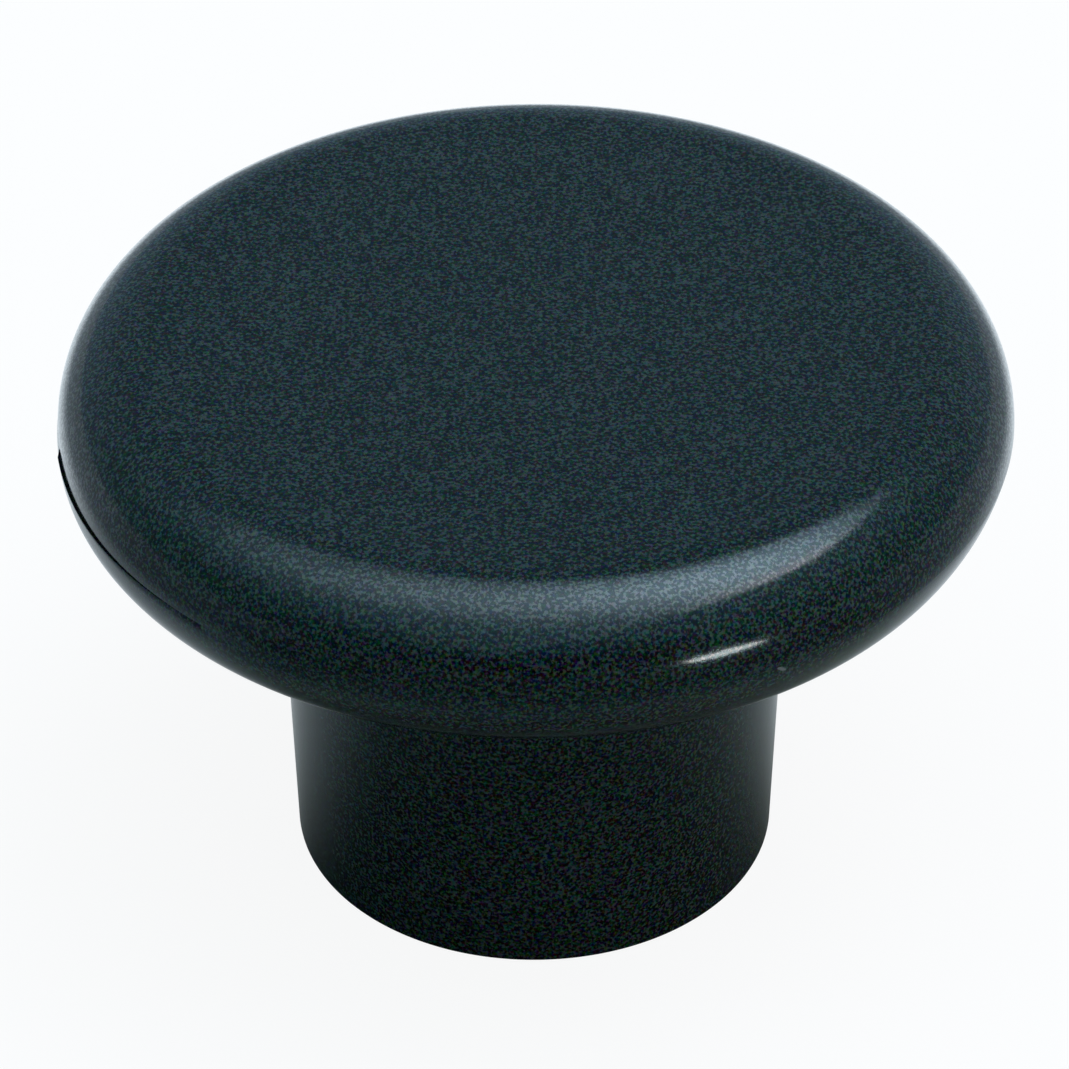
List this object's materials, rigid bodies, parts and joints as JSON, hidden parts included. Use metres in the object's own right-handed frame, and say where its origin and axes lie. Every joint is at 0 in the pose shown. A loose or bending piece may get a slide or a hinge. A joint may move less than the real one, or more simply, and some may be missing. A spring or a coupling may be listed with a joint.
{
  "type": "cabinet knob",
  "caption": "Round black plastic cabinet knob: thick disc head with a rounded rim on a short tapered stem, threaded insert in its foot.",
  "frame": {"origin": "centre of the foot, on the plane that seats on the drawer or door front", "axes": "+Z along the knob's axis from the foot to the face; the front of the picture's view is -Y and +X is to the right"},
  "size_m": [0.032, 0.032, 0.0205],
  "materials": {
    "black_plastic": "smooth gloss moulded black, faint ripples and a witness line at the rim",
    "brass": "turned brass, slightly dull, fine knurl"
  },
  "bodies": {
    "root": {"knob_body": "black_plastic", "threaded_insert": "brass"}
  },
  "joints": []
}
